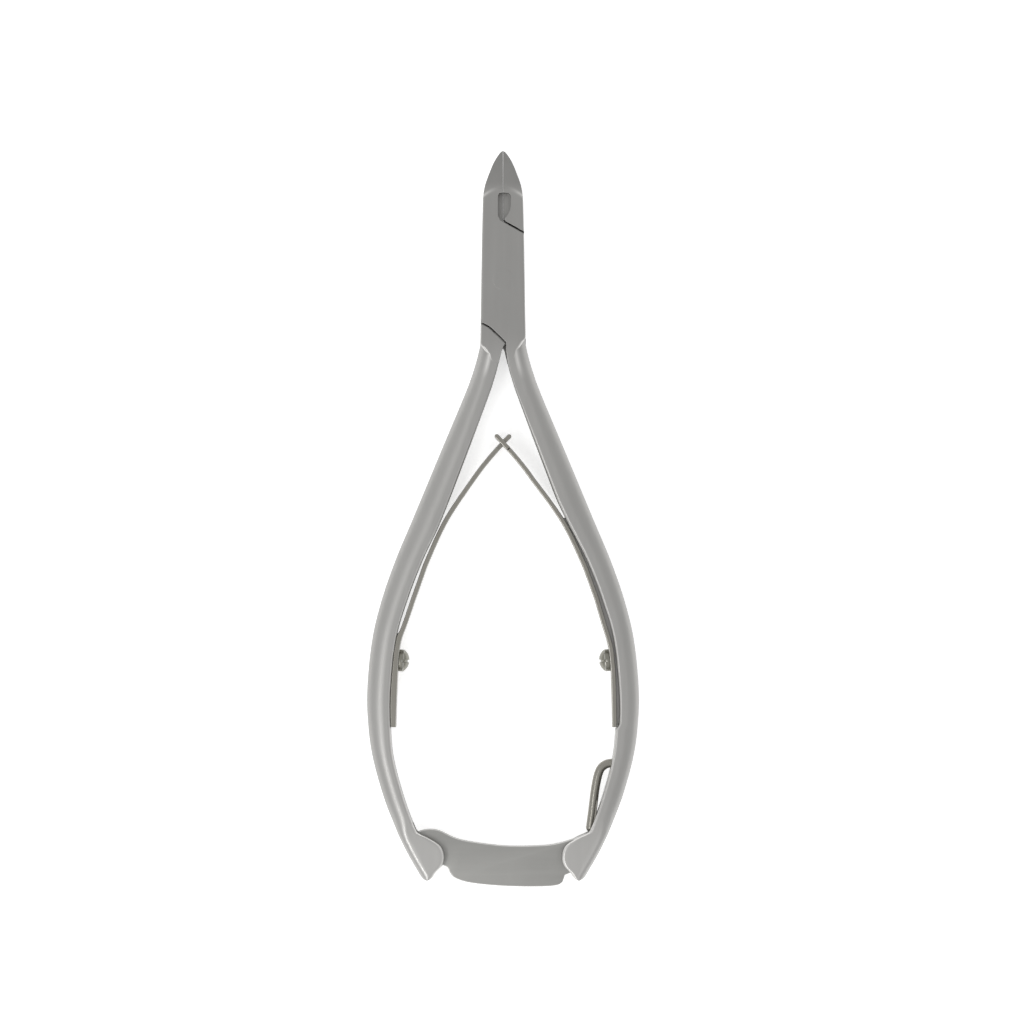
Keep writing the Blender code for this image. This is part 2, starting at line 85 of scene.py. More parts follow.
# Lap joint: gaps, seams, throat and the flat ends at the handles
LAP_HALF = 0.04 * MM
SEAM_HALF = 0.16
CUT_HALF = 0.02
NOSE = [
    (-11.2, 3.95), (-6.0, 3.82), (0.0, 3.74), (8.0, 3.60), (13.0, 3.48), (14.3, 3.41), (15.4, 3.27),
    (16.4, 3.05), (17.4, 2.72), (18.5, 2.31), (19.5, 1.93), (20.5, 1.47), (21.4, 0.92), (22.0, 0.48),
    (22.26, 0.15),
]
UPPER_SEAM = [(3.62, 8.0), (1.6, 9.15), (-0.41, 10.25)]
LOWER_SEAM = [(-3.84, -7.5), (-2.45, -8.2), (-1.38, -9.15), (-0.29, -10.2), (0.45, -10.95)]
THROAT_TOP = 14.85
THROAT_LEFT = [(-0.62, 10.5), (-0.86, 10.85), (-0.86, 14.35), (-0.6, THROAT_TOP)]
THROAT_RIGHT = [(0.25, 10.42), (0.85, 11.1), (1.2, 11.9), (1.36, 12.6), (1.38, 14.3), (1.0, THROAT_TOP)]
FRONT_FLAT_END = [(3.9, -10.1), (1.75, -13.6), (1.05, -14.4)]
FRONT_FLAT_INNER = [(0.55, -12.4), (1.05, -14.4)]
REAR_FLAT_END = [(3.94, -11.2), (1.75, -14.2), (0.75, -14.4)]
REAR_FLAT_INNER = [(0.25, -12.2), (0.75, -14.4)]
GRIND_AT_CENTRE = 15.7
GRIND_BOW = 0.12
GRIND_HOLLOW = 1.35
GRIND_TIP_HALF = 0.7
CREASE_HALF = 0.28
CREASE_SIDE = 3.3
CUT_WEAR_HALF = 0.3
RIM_TOP = 14.0
RIM_MARGIN = 0.1
ROOT_STEP_AT = 0.55
# Where the rounding beside each handle has faded out, and its shoulder in rims
FRONT_FADE_END = -13.2
REAR_FADE_END = -13.8
SHOULDER_RIMS = 2.6
# The most that a rounding takes of the width
MOST_ROUNDING = 0.3
SECTION_STEP = 0.22
STEP_HALF = 0.06

# Ledges that close the places where two seams cross, and the thin wall behind the throat
LEDGE_EDGE = 0.02 * MM
UPPER_LEDGE = {"start": 9.45, "reach": 0.42, "width": 0.8, "most": 1.0, "top": 1.8 * MM}
LOWER_LEDGE = {"start": -9.2, "reach": 0.32, "width": 0.7, "low": 1.2 * MM}
WEB_HEIGHTS = (10.3, 15.5)
WEB_SIDE = -1.8
WEB_HALF = 1.0 * MM

# Right handle: height, outer side, inner side; then the fork's end
HANDLE = [
    (-9.6, 3.78, 1.9), (-11.0, 3.88, 0.6), (-14.0, 4.6, 0.75), (-17.3, 5.65, 1.6), (-20.7, 6.98, 2.75),
    (-29.3, 10.6, 5.95), (-41.4, 15.65, 10.65), (-48.3, 18.55, 13.85), (-55.2, 20.95, 16.5),
    (-62.1, 22.6, 18.5), (-70.7, 23.45, 19.4), (-77.1, 23.25, 19.4), (-82.8, 22.4, 18.85),
    (-89.7, 20.45, 17.0), (-94.6, 18.5, 15.15),
]
END_OUTER = [
    (-96.5, 17.65), (-99.0, 16.4), (-101.6, 14.9), (-102.7, 14.25), (-103.25, 13.8), (-103.5, 13.3),
]
END_INNER = [(-95.5, 14.35), (-96.1, 13.0), (-96.85, 11.7)]
END_TIP = [(-102.3, 11.7), (-102.95, 12.1), (-103.35, 12.55), (-103.5, 12.95)]
LOBE_ARC = (-97.3, -101.7)
LOBE_RADIUS = 2.9
SLOT_TOP = {1: -90.0, -1: -93.6}
FORK_HALF = 0.98 * MM
HALF_DEPTH = (3.196 * MM, 2.7 * MM)
THINNEST = -94.0
INNER_EDGE_START = -14.0
INNER_EDGE_GROWTH = 16.0
# Roundings of the handle's section as shares of its width and depth, with what each gains down the handle
OUTER_SHARE, OUTER_GAIN, OUTER_DEPTH = 0.62, 0.10, 0.8
INNER_SHARE, INNER_GAIN, INNER_DEPTH, INNER_DEPTH_GAIN = 0.05, 0.06, 0.04, 0.14
# The same on the fork's lobe: across and deep, and the most as a share of the width
LOBE_OUTER, LOBE_OUTER_MOST = (1.4 * MM, 1.3 * MM), 0.6
LOBE_INNER, LOBE_INNER_MOST = (0.55 * MM, 0.5 * MM), 0.3
# Painted highlight along the handle's crest: its place and half width on the outer rounding, and its
# strength
CREST_AT, CREST_HALF = 0.92, 0.10
CREST_PLAIN, CREST_LOBE = 0.10, 0.35
CREST_ROOT_END, CREST_ROOT_FADE = -17.8, 3.6
# How far each handle's inner side is hollowed at each height, down to the end of the leaf's seat
HOLLOW = {
    1: [(-77.3, 0.0), (-76.9, 0.6), (-61.0, 0.6), (-50.0, 0.65), (-44.0, 0.5), (-38.0, 0.0)],
    -1: [(-77.3, 0.0), (-38.0, 0.0)],
}

# Leaf spring centre line on the left side, from its foot to its tip
LEAF = [
    (-18.85, -77.1), (-18.72, -72.5), (-18.4, -65.6), (-17.85, -62.1), (-16.55, -58.7), (-14.1, -51.8),
    (-12.85, -48.3), (-9.7, -41.4), (-5.2, -34.5), (-2.6, -31.06), (0.0, -28.1), (1.35, -26.7),
]
LEAF_BOW = [
    (-65.6, 0.0), (-62.1, 0.2), (-58.7, 0.5), (-55.2, 0.72), (-51.8, 0.7), (-48.3, 0.55),
    (-41.4, 0.3), (-34.5, 0.0),
]
LEAF_LEAVES_HANDLE = -61.2
# The right leaf lies this much further out, in its handle's hollow
LEAF_SEAT = [
    (-77.1, 0.37), (-67.5, 0.48), (-64.0, 0.35), (-61.5, 0.15), (-50.0, 0.2), (-44.0, 0.22),
    (-38.0, 0.1), (-34.5, 0.0),
]
SEAT_BOTTOM = -76.9
SEAT_TOP = {1: -41.0, -1: -61.0}
SEAT_HALF = 0.7 * MM
LEAF_BOW_SHARE = {1: 1.0, -1: 0.3}
LEAF_SHOULDER = -29.06
LEAF_OVERLAP = 0.2
LEAF_EDGE = 0.16 * MM
TONGUE_HALF = 0.7 * MM
PRONG_INNER = 0.95 * MM
SCREW_HEIGHT = -65.6
SCREW_SLOT_HALF = 0.22 * MM
SCREW_SLOT_DEPTH = 0.28 * MM
SCREW_SLOT_WALL = 0.02 * MM
SCREW_EDGE = 0.12 * MM
DOME_SHARE = 0.55
PIN_EDGE = 0.03 * MM
PROUD = 0.003 * MM

# Lock bar outline
BAR_TOP = [
    (-14.9, -95.7), (-14.4, -95.1), (-12.7, -94.78), (-10.9, -95.05), (-8.2, -96.3), (-5.1, -97.0),
    (0.6, -97.65), (6.4, -97.6), (9.3, -97.25), (12.1, -96.45), (13.9, -95.75), (15.0, -95.45),
]
BAR_HEEL = [(15.6, -96.2), (15.75, -98.0), (15.4, -100.4), (13.9, -101.9), (12.0, -102.2), (10.7, -102.7)]
BAR_BOTTOM = [
    (10.3, -103.9), (9.3, -104.45), (6.4, -104.68), (0.6, -104.6), (-5.1, -104.1), (-8.0, -103.35),
    (-9.1, -102.4), (-9.7, -101.3), (-11.6, -100.7),
]
NOTCH_HALF = 0.66
NOTCH_TOP = -98.78
NOSE_WIDTH = 1.05
NOSE_BOTTOM = -100.15
NOSE_TOP = -97.5

# Wire spring centre line
WIRE = [
    (20.3, -83.4), (19.2, -83.4), (17.9, -83.55), (16.95, -84.25), (16.4, -85.5), (15.98, -87.5),
    (15.72, -89.4), (15.45, -91.7), (15.2, -93.6), (14.98, -95.3),
]

# Finish: the pale colour of rubbed steel and painted highlight on corners, the relief's depth and the
# heights between which the tone changes by painted shade and painted light
RUB_AND_HIGHLIGHT_COLOUR = (0.78, 0.77, 0.75, 1.0)
RELIEF_DEPTH = 12e-6
# Heights of the painted shade over the joint and the nose, and of the painted light on the handles' ends
PAINTED_SHADE_HEIGHTS = (-16 * MM, -9 * MM)
NOSE_HEIGHTS = (15 * MM, 17 * MM)
NOSE_PAINTED_SHADE = 0.2
PAINTED_LIGHT_HEIGHTS = (-99 * MM, -88 * MM)

# Stage, in metres
FLOOR_HALF = 1.5
FLOOR_LEVEL = -0.0001
SKY_HEIGHTS = (0.35, 0.97)
SIDE_TILT = 0.08
LAMP_SIZE = (0.16, 1.0)
LAMP_TILT = math.radians(-24)
LAMP_DISTANCE = 0.9
LAMP_ALONG = -0.58
SENSOR = 36.0
VIEW_CENTRE = (1.55 * MM, -40.03 * MM, 4.0 * MM)


class NipperSizes(bpy.types.PropertyGroup):
    rim: FloatProperty(
        name="Joint rim", description="Rounding along the joint's outer edges",
        default=0.22 * MM, subtype="DISTANCE", unit="LENGTH",
    )
    seam_edge: FloatProperty(
        name="Seam edge", description="Rounding along the joint's seams and the cutting line",
        default=0.045 * MM, subtype="DISTANCE", unit="LENGTH",
    )
    bar_rim: FloatProperty(
        name="Bar rim", description="Rounding along the lock bar's edge",
        default=0.16 * MM, subtype="DISTANCE", unit="LENGTH",
    )
    leaf_thickness: FloatProperty(
        name="Leaf thickness", description="Thickness of each leaf spring",
        default=0.8 * MM, subtype="DISTANCE", unit="LENGTH",
    )
    wire_radius: FloatProperty(
        name="Wire radius", description="Radius of the lock bar's wire spring",
        default=0.76 * MM, subtype="DISTANCE", unit="LENGTH",
    )
    screw_radius: FloatProperty(
        name="Screw head radius", description="Radius of the spring screws' heads",
        default=1.9 * MM, subtype="DISTANCE", unit="LENGTH",
    )
    screw_rise: FloatProperty(
        name="Screw head height", description="Height of the spring screws' domed heads",
        default=1.85 * MM, subtype="DISTANCE", unit="LENGTH",
    )
    rings: IntProperty(
        name="Handle rings", description="Number of sections along each handle", default=150, min=40,
    )


class NipperFinish(bpy.types.PropertyGroup):
    lever_colour: FloatVectorProperty(
        name="Lever steel", description="Reflected colour of the levers' satin steel",
        default=(0.35, 0.346, 0.336), size=3, min=0.0, max=1.0, subtype="COLOR",
    )
    bar_colour: FloatVectorProperty(
        name="Bar steel", description="Reflected colour of the lock bar's steel sheet",
        default=(0.318, 0.316, 0.304), size=3, min=0.0, max=1.0, subtype="COLOR",
    )
    spring_colour: FloatVectorProperty(
        name="Spring steel", description="Reflected colour of the leaf and wire springs",
        default=(0.27, 0.26, 0.232), size=3, min=0.0, max=1.0, subtype="COLOR",
    )
    fixing_colour: FloatVectorProperty(
        name="Fixing steel", description="Reflected colour of the rivets, the pin and the screws",
        default=(0.225, 0.22, 0.19), size=3, min=0.0, max=1.0, subtype="COLOR",
    )
    roughness: FloatProperty(
        name="Satin roughness", description="Base roughness of the satin steel", default=0.42, min=0.0,
        max=1.0, subtype="FACTOR",
    )
    grain: FloatProperty(
        name="Grain depth", description="Strength of the brushed grain's relief", default=0.16, min=0.0,
        max=1.0, subtype="FACTOR",
    )


class NipperStage(bpy.types.PropertyGroup):
    floor_colour: FloatVectorProperty(
        name="Floor", description="Colour of the plain pale floor", default=(0.94, 0.94, 0.94), size=3,
        min=0.0, max=1.0, subtype="COLOR",
    )
    view_size: FloatProperty(
        name="View size", description="Side of the square that the camera takes in at the tool",
        default=176.7 * MM, subtype="DISTANCE", unit="LENGTH",
    )
    lens: FloatProperty(name="Lens", description="Focal length in mm", default=135.0, min=20.0)
    sky: FloatProperty(
        name="Sky", description="Brightness of the light straight above", default=0.84, min=0.0,
    )
    horizon: FloatProperty(
        name="Horizon", description="Brightness of the light from the sides", default=0.94, min=0.0,
    )
    glow: FloatProperty(
        name="Glow", description="Brightness of the lit table under the tool", default=0.52, min=0.0,
    )
    strip_power: FloatProperty(
        name="Strip light", description="Power of the long soft light, in watts", default=2.4,
    )


# ---------------------------------------------------------------- numpy surfaces


def eased(value):
    """The value held to 0..1, with its two ends flattened: three times its square less twice its cube."""
    held = np.clip(value, 0, 1)
    return held * held * (3 - 2 * held)


def smooth_line(points, count):
    """A Catmull-Rom curve through the points, evenly spaced along its length.

    Between two points the curve is the cubic whose slope at each point is half the step
    between that point's two neighbours.
    """
    p = np.array(points, float)
    ends = np.vstack([2 * p[0] - p[1], p, 2 * p[-1] - p[-2]])
    a, b, c, d = (ends[k : len(ends) - 3 + k, None] for k in range(4))
    t = np.linspace(0, 1, 24, endpoint=False)[None, :, None]
    cubic = 2 * b + (c - a) * t + (2 * a - 5 * b + 4 * c - d) * t**2 + (3 * b - a - 3 * c + d) * t**3
    fine = np.vstack([0.5 * cubic.reshape(-1, p.shape[1]), p[-1:]])
    along = np.r_[0, np.cumsum(np.linalg.norm(np.diff(fine, axis=0), axis=1))]
    even = np.linspace(0, along[-1], count)
    return np.column_stack([np.interp(even, along, column) for column in fine.T])


def directions(line):
    """The unit direction of a line at each of its points: the step between neighbours over its length."""
    way = np.gradient(line, axis=0)
    return way / np.linalg.norm(way, axis=1)[:, None]


def sideways(points, distance):
    """The line moved to the left of its own direction by distance."""
    p = np.array(points, float)
    way = directions(p)
    return p + distance * np.column_stack([-way[:, 1], way[:, 0]])


def carried(line, offset, height):
    """Sections square to a flat line: each point is its offset to the left of the line, at its height."""
    way = directions(line)
    x = line[:, 0, None] - way[:, 1, None] * offset
    y = line[:, 1, None] + way[:, 0, None] * offset
    return np.stack([x, y, height], axis=-1)


def closing(line, radius, least):
    """The share of its size that a section keeps towards the line's end, as on a ball of that radius.

    It is the root of one less the square of the way from the ball's centre to the section,
    and the value under the root never falls under least.
    """
    to_end = np.linalg.norm(line - line[-1], axis=1)
    return np.sqrt(np.clip(1 - (1 - np.clip(to_end / radius, 0, 1)) ** 2, least, 1))


def across_at(heights, *lines):
    """The x of a boundary at each height, from lines of (x, y) points joined end to end."""
    points = np.vstack(lines)
    points = points[np.argsort(points[:, 1], kind="stable")]
    return np.interp(heights, points[:, 1], points[:, 0])


def nose_half(heights):
    """Half the width of the joint and the nose at each height, in mm."""
    line = smooth_line(NOSE, 300)
    return np.interp(heights, line[:, 0], line[:, 1])


def level(height):
    """A face at the same height everywhere, as a function of x and y."""
    return lambda x, y: height + 0 * x


def section_rings(
    heights, left, right, low, high, left_round, right_round, flat_low=False, row=10, arc=6,
):
    """Closed sections in X and Z at rising or falling heights Y, for a bar that changes shape.

    Each section runs from left to right and from low to high. Its corners are quarter
    ellipses of the given (across, deep) radii, and low and high are functions of x and y,
    so that a face may be hollow or sloped. With flat_low the lower face is flat and cuts
    off the upper corners where they reach it. A face has row points along it, and a corner
    arc points round it. All lengths are in metres. Returns the grid of points and, for each,
    how far it lies on a corner, from 0 to 1.
    """
    y = np.asarray(heights, float)[:, None]
    left, right, lx, lz, rx, rz = (
        np.broadcast_to(value, len(y)).astype(float)[:, None]
        for value in (left, right, *left_round, *right_round)
    )
    q = np.linspace(0, 1, arc)[None, :]
    t = np.linspace(0, 1, row)[None, 1:-1]
    centre_l, centre_r = left + lx, right - rx

    def corner(centre, sign, across, deep, top, falling):
        """A quarter ellipse, from the side to the face, or back when falling."""
        start = 0.0
        if flat_low:
            room = high(centre, y) - low(centre, y)
            start = np.arcsin(np.clip(1 - room / deep, 0, 1))
        angle = start + (math.pi / 2 - start) * (q[:, ::-1] if falling else q)
        x = centre + sign * across * np.cos(angle)
        drop = deep * (1 - np.sin(angle))
        z = high(x, y) - drop if top else low(x, y) + drop
        return x, z, np.broadcast_to(np.sin(2 * angle), x.shape)

    def face(top, start, end):
        """The points between two corners, evenly spaced."""
        x = start + (end - start) * t
        return x, (high if top else low)(x, y), np.zeros(np.broadcast(x, y).shape)

    parts = [
        corner(centre_r, 1, rx, rz, True, False), face(True, centre_r, centre_l),
        corner(centre_l, -1, lx, lz, True, True),
    ]
    if flat_low:
        first, last = parts[-1][0][:, -1:], parts[0][0][:, :1]
        x = first + (last - first) * np.linspace(0, 1, row)[None, :]
        parts.append((x, low(x, y), np.zeros(np.broadcast(x, y).shape)))
    else:
        parts += [
            corner(centre_l, -1, lx, lz, False, False), face(False, centre_l, centre_r),
            corner(centre_r, 1, rx, rz, False, True),
        ]
    x, z, edge = (
        np.concatenate([np.broadcast_to(values, (len(y), values.shape[1])) for values in columns], 1)
        for columns in zip(*parts)
    )
    return np.stack([x, np.broadcast_to(y, x.shape), z], axis=-1), edge


def shell(grid, edge=None):
    """A closed skin over rings of points: one face between neighbours, and a cap at each end.

    Returns the points, the faces as two arrays of point numbers, the four-cornered ones and
    the caps, and each point's share of rubbed steel and painted highlight.
    """
    count, around = grid.shape[:2]
    index = np.arange(count * around).reshape(count, around)
    following = np.roll(index, -1, axis=1)
    quads = np.stack([index[:-1], following[:-1], following[1:], index[1:]], axis=-1).reshape(-1, 4)
    caps = np.stack([index[0][::-1], index[-1]])
    edge = np.zeros((count, around)) if edge is None else edge
    return grid.reshape(-1, 3), (quads, caps), edge.reshape(-1)


def fans(faces):
    """Each face as triangles from its first corner, in rows of three point numbers."""
    first = np.broadcast_to(faces[:, :1], faces[:, 2:].shape)
    return np.stack([first, faces[:, 1:-1], faces[:, 2:]], axis=-1).reshape(-1, 3)


def outward(points, skin):
    """The arrays of faces, all turned round if they enclose a negative volume.

    The volume is a sixth of the sum, over each face's fan of triangles, of the corners'
    triple product.
    """
    a, b, c = points[np.concatenate([fans(faces) for faces in skin])].transpose(1, 0, 2)
    way = 1 if np.einsum("ij,ij->", a, np.cross(b, c)) > 0 else -1
    return [faces[:, ::way] for faces in skin]


def add_piece(name, shells, material, body, replaced, turn=None, smooth_under=32.0):
    """One object from closed skins, shaded smooth except over sharp edges, riding on a body."""
    points, faces, edge, start = [], [], [], 0
    for grid, skin, corner in shells:
        if turn is not None:
            grid = turn(grid)
        for group in outward(grid, skin):
            faces += (group + start).tolist()
        points.append(grid)
        edge.append(corner)
        start += len(grid)
    mesh = bpy.data.meshes.new(name)
    mesh.from_pydata(np.vstack(points).tolist(), [], faces)
    # The corner attribute marks rubbed steel and a painted highlight for the material.
    rub_and_painted_highlight = mesh.attributes.new("corner", "FLOAT", "POINT")
    rub_and_painted_highlight.data.foreach_set("value", np.concatenate(edge).astype(np.float32))
    mesh.validate()
    mesh.shade_smooth()
    mesh.set_sharp_from_angle(angle=math.radians(smooth_under))
    mesh.materials.append(material)
    obj = bpy.data.objects.new(name, mesh)
    bpy.context.scene.collection.objects.link(obj)
    if isinstance(body, str):
        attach(obj, body)
    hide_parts(*replaced)
    return obj


# ---------------------------------------------------------------- shader expressions


class Wire:
    """A node's output as a Python value: arithmetic on it adds Math nodes to its tree."""

    def __init__(self, shader, socket):
        self.shader, self.socket = shader, socket

    def math(self, operation, *others):
        values = dict(enumerate((self, *others)))
        return self.shader.node("ShaderNodeMath", {"operation": operation}, values)

    def __add__(self, other):
        return self.math("ADD", other)

    def __mul__(self, other):
        return self.math("MULTIPLY", other)

    def __sub__(self, other):
        return self.math("SUBTRACT", other)

    def __rsub__(self, other):
        return self.math("MULTIPLY", -1.0).math("ADD", other)

    __radd__ = __add__
    __rmul__ = __mul__


class Shader:
    """A node tree whose nodes are made by one method."""

    def __init__(self, tree, surface):
        self.tree = tree
        self.surface = tree.nodes[surface]

    def node(self, kind, settings=None, values=None, output=0):
        """A node of that type: its settings, then its sockets' values or links; returns an output."""
        made = self.tree.nodes.new(kind)
        for name, value in (settings or {}).items():
            setattr(made, name, value)
        for name, value in (values or {}).items():
            self.feed(made.inputs[name], value)
        return Wire(self, made.outputs[output])

    def feed(self, socket, value):
        """Links a wire to the socket, or sets the socket to a plain value."""
        if isinstance(value, Wire):
            self.tree.links.new(value.socket, socket)
        else:
            socket.default_value = value

    def set(self, **values):
        """Feeds the surface shader's sockets, named with _ for each space."""
        for name, value in values.items():
            self.feed(self.surface.inputs[name.replace("_", " ")], value)

    def span(self, value, start, end):
        """A ramp from 0 to 1 as value goes from start to end."""
        ends = {"Value": value, "From Min": start, "From Max": end}
        return self.node("ShaderNodeMapRange", {"interpolation_type": "SMOOTHSTEP"}, ends)

    def noise(self, place, scale, stretch=(1.0, 1.0, 1.0), detail=3.0, roughness=0.55):
        """Noise from 0 to 1 at scale features per metre, squeezed by stretch along each axis."""
        mapped = self.node("ShaderNodeMapping", None, {"Vector": place, "Scale": stretch})
        values = {"Vector": mapped, "Scale": scale, "Detail": detail, "Roughness": roughness}
        return self.node("ShaderNodeTexNoise", None, values)


def new_material(name):
    """A new material and its shader."""
    material = bpy.data.materials.new(name)
    material.use_nodes = True
    return material, Shader(material.node_tree, "Principled BSDF")


def rgba(colour, factor=1.0):
    """The colour times factor, held to 1, with full opacity."""
    return (*(min(1.0, channel * factor) for channel in colour), 1.0)


def steel(
    name, colour, roughness, grain, along=(1.0, 0.045, 1.0), scratch=0.5, cloud=0.07, highlight_and_rub_strength=0.6,
    painted_shade=0.0, painted_light=0.0,
):
    """Satin or polished steel: a drawn grain, faint clouds, stray scratches and brighter corners of rubbed
    steel with a painted highlight.

    The grain is stretched by along. A shade strength darkens the flat faces above the handles
    by that much, as painted shade, and the nose a little more. A light strength then brightens
    the handles' ends, as painted light.
    """
    material, shader = new_material(name)
    place = shader.node("ShaderNodeTexCoord", output="Object")
    corner = shader.node("ShaderNodeAttribute", {"attribute_name": "corner"}, output="Fac")
    fine = shader.noise(place, scale=9000.0, stretch=along, detail=2.0)
    broad = shader.noise(place, scale=1500.0, stretch=along, detail=3.0)
    clouds = shader.noise(place, scale=130.0, stretch=(1.0, 0.6, 1.0), detail=4.0)
    pits = shader.noise(place, scale=5200.0, stretch=(1.0, 1.0, 1.0), detail=1.0)
    lines = shader.noise(place, scale=700.0, stretch=(1.0, along[1] * 0.5, 1.0), detail=1.0)
    scratches = shader.span(lines, 0.66, 0.72)
    # Corners get rubbed steel and a painted highlight, patchy with the clouds.
    rub_and_painted_highlight = corner * (0.6 + clouds * 0.8)
    tone = (clouds - 0.5) * cloud * 2.0 + (broad - 0.5) * 0.10 + 0.5
    rough = roughness + (clouds - 0.5) * 0.10 + (broad - 0.5) * 0.10
    rough = rough - rub_and_painted_highlight * 0.12 + scratches * scratch * 0.08
    # Painted shade over the joint and the nose, and painted light on the handles' ends.
    if painted_shade:
        height = shader.node("ShaderNodeSeparateXYZ", None, {0: place}, output=1)
        tone = tone - shader.span(height, *PAINTED_SHADE_HEIGHTS) * painted_shade
        tone = tone - shader.span(height, *NOSE_HEIGHTS) * NOSE_PAINTED_SHADE
        tone = tone + (1 - shader.span(height, *PAINTED_LIGHT_HEIGHTS)) * painted_light
    base = shader.node(
        "ShaderNodeMix", {"data_type": "RGBA"},
        {0: tone, 6: rgba(colour, 0.70), 7: rgba(colour, 1.30)}, output=2,
    )
    # Corners mixed towards the pale colour: rubbed steel and a painted highlight.
    bright = shader.node(
        "ShaderNodeMix", {"data_type": "RGBA"}, {0: rub_and_painted_highlight * highlight_and_rub_strength, 6: base, 7: RUB_AND_HIGHLIGHT_COLOUR}, output=2,
    )
    relief = fine * 0.5 + broad * 0.35 + pits * 0.3 - scratches * scratch * 0.6
    bump = shader.node(
        "ShaderNodeBump", None, {"Strength": grain, "Distance": RELIEF_DEPTH, "Height": relief},
    )
    shader.set(Base_Color=bright, Roughness=rough, Normal=bump, Metallic=1.0)
    return material


def finish():
    """The scene's colours and surface settings."""
    return bpy.context.scene.nipper_finish


def sizes():
    """The scene's size settings."""
    return bpy.context.scene.nipper_sizes


def kept_material(name, make):
    """The material of that name, made the first time it is asked for."""
    return bpy.data.materials.get(name) or make(name)


def lever_steel(name):
    """Satin steel brushed along the levers, with painted shade at the joint and painted light at the ends.
    """
    return steel(
        name, finish().lever_colour, finish().roughness, finish().grain, painted_shade=0.24, painted_light=0.24,
    )


def bar_steel(name):
    """Rolled sheet, with its grain across the tool."""
    return steel(
        name, finish().bar_colour, 0.40, finish().grain * 1.2, along=(0.05, 1.0, 1.0), scratch=0.7,
        cloud=0.06,
    )


def spring_steel(name):
    """Smooth drawn steel, a little warmer than the levers."""
    return steel(
        name, finish().spring_colour, 0.28, finish().grain * 0.7, along=(1.0, 0.05, 1.0), scratch=0.4,
        cloud=0.10, highlight_and_rub_strength=0.3,
    )


def fixing_steel(name):
    """Smooth turned steel with an even grain."""
    return steel(
        name, finish().fixing_colour, 0.30, finish().grain * 0.6, along=(1.0, 1.0, 1.0), scratch=0.3,
        cloud=0.12, highlight_and_rub_strength=0.25,
    )


# ---------------------------------------------------------------- levers


def half_turn(points):
    """Points of the front lever turned half a turn about Y at mid thickness, onto the rear one."""
    return points * (-1, 1, -1) + (0, 0, THICKNESS)


def grind_start(x):
    """The height at which the nose's grind starts: a bow across the nose, lower by x squared."""
    return (GRIND_AT_CENTRE - GRIND_BOW * (x / MM) ** 2) * MM


def grind(x, y):
    """How far the nose's grind lies below the flat face, in metres.

    It drops as one less a power of the way left to the tip, so the grind's face is hollow.
    """
    start = grind_start(x)
    way = np.clip((y - start) / (TIP - start), 0, 1)
    return (MID - GRIND_TIP_HALF * MM) * (1 - (1 - way) ** GRIND_HOLLOW)


def with_crease_highlight(grid, edge):
    """The corners' rubbed steel and painted highlight, with a painted highlight along the nose's
    crease added, which is brightest towards the joint's sides.

    Across the crease the highlight falls off as a bell curve, and along it the highlight grows
    as the square of x. The joint's sides get less of the corner mark than the handles' roots,
    and the closed cut none at all.
    """
    x, y = grid[..., 0], grid[..., 1]
    # Painted highlight along the nose's crease, brightest at the joint's sides.
    across = np.exp(-(((y - grind_start(x)) / (CREASE_HALF * MM)) ** 2))
    bright = across * np.clip(abs(x) / (CREASE_SIDE * MM), 0, 1) ** 2
    side = 0.35 + 0.65 * eased((-9.0 * MM - y) / MM)
    closed = (y > THROAT_TOP * MM) & (abs(x) < CUT_WEAR_HALF * MM)
    return np.maximum(edge * side * ~closed, bright)


def joint_heights(low, high, *steps):
    """Section heights in mm: a plain spacing, with pairs close together at each step."""
    plain = np.arange(low, high, SECTION_STEP)
    paired = [step + shift for step in steps for shift in (-STEP_HALF, STEP_HALF)]
    paired = [height for height in paired if low < height < high]
    return np.unique(np.r_[low, plain, paired, high])


def root_rounding(y, rounding, rim, flat_top, fade_end):
    """The outer rounding beside a handle, which fades out downwards above fade_end.

    It is never less than a shoulder of a few rims, which swells just under the flat end's
    top and fades out a little lower than the rounding does.
    """
    shoulder = eased((flat_top - y) / 0.6) * np.clip((y - fade_end + 0.2) / 1.2, 0, 1)
    faded = rounding * np.clip((y - fade_end) / 1.6, 0.04, 1)
    return np.maximum(faded, SHOULDER_RIMS * rim * shoulder)


def front_half(rim, fine):
    """The left jaw, the front cheek and the flat root of the right handle, as one section run."""
    upper, lower = smooth_line(UPPER_SEAM, 24), smooth_line(LOWER_SEAM, 40)
    top, low = sideways(upper, SEAM_HALF), sideways(lower, SEAM_HALF)
    steps = (low[0, 1], low[-1, 1], top[0, 1], THROAT_TOP, THROAT_LEFT[0][1])
    y = joint_heights(FRONT_FLAT_END[-1][1] + 0.02, TIP / MM, *steps)
    left = np.where(y > low[0, 1], -nose_half(y), across_at(y, low, FRONT_FLAT_INNER))
    throat = across_at(y, top, THROAT_LEFT)
    right = np.where(y < FRONT_FLAT_END[0][1], across_at(y, FRONT_FLAT_END), nose_half(y))
    right = np.where(y > top[0, 1], throat, right)
    right = np.where(y > THROAT_TOP, -CUT_HALF, right)
    outer_left = np.where((y > low[0, 1] + RIM_MARGIN) & (y < RIM_TOP), rim, fine)
    outer_right = np.where(y < top[0, 1] - RIM_MARGIN, rim, fine)
    outer_right = root_rounding(y, outer_right, rim, FRONT_FLAT_END[0][1], FRONT_FADE_END)
    outer_right = np.where(y > THROAT_TOP, 0.1 * fine, outer_right)
    width = (right - left) * MM
    outer_left, outer_right = (np.minimum(r, MOST_ROUNDING * width) for r in (outer_left, outer_right))
    grid, edge = section_rings(
        y * MM, left * MM, right * MM, level(MID + LAP_HALF), lambda x, y: THICKNESS - grind(x, y),
        (outer_left, outer_left), (outer_right, outer_right), flat_low=True, row=22,
    )
    at = UPPER_LEDGE
    crossing = np.linspace(at["start"], THROAT_LEFT[0][1] + 0.1, 12)
    end = across_at(crossing, top, THROAT_LEFT) + at["reach"]
    step = ledge(crossing, end - at["width"], np.minimum(end, at["most"]), MID + LAP_HALF, MID + at["top"])
    return [shell(grid, with_crease_highlight(grid, edge)), step]


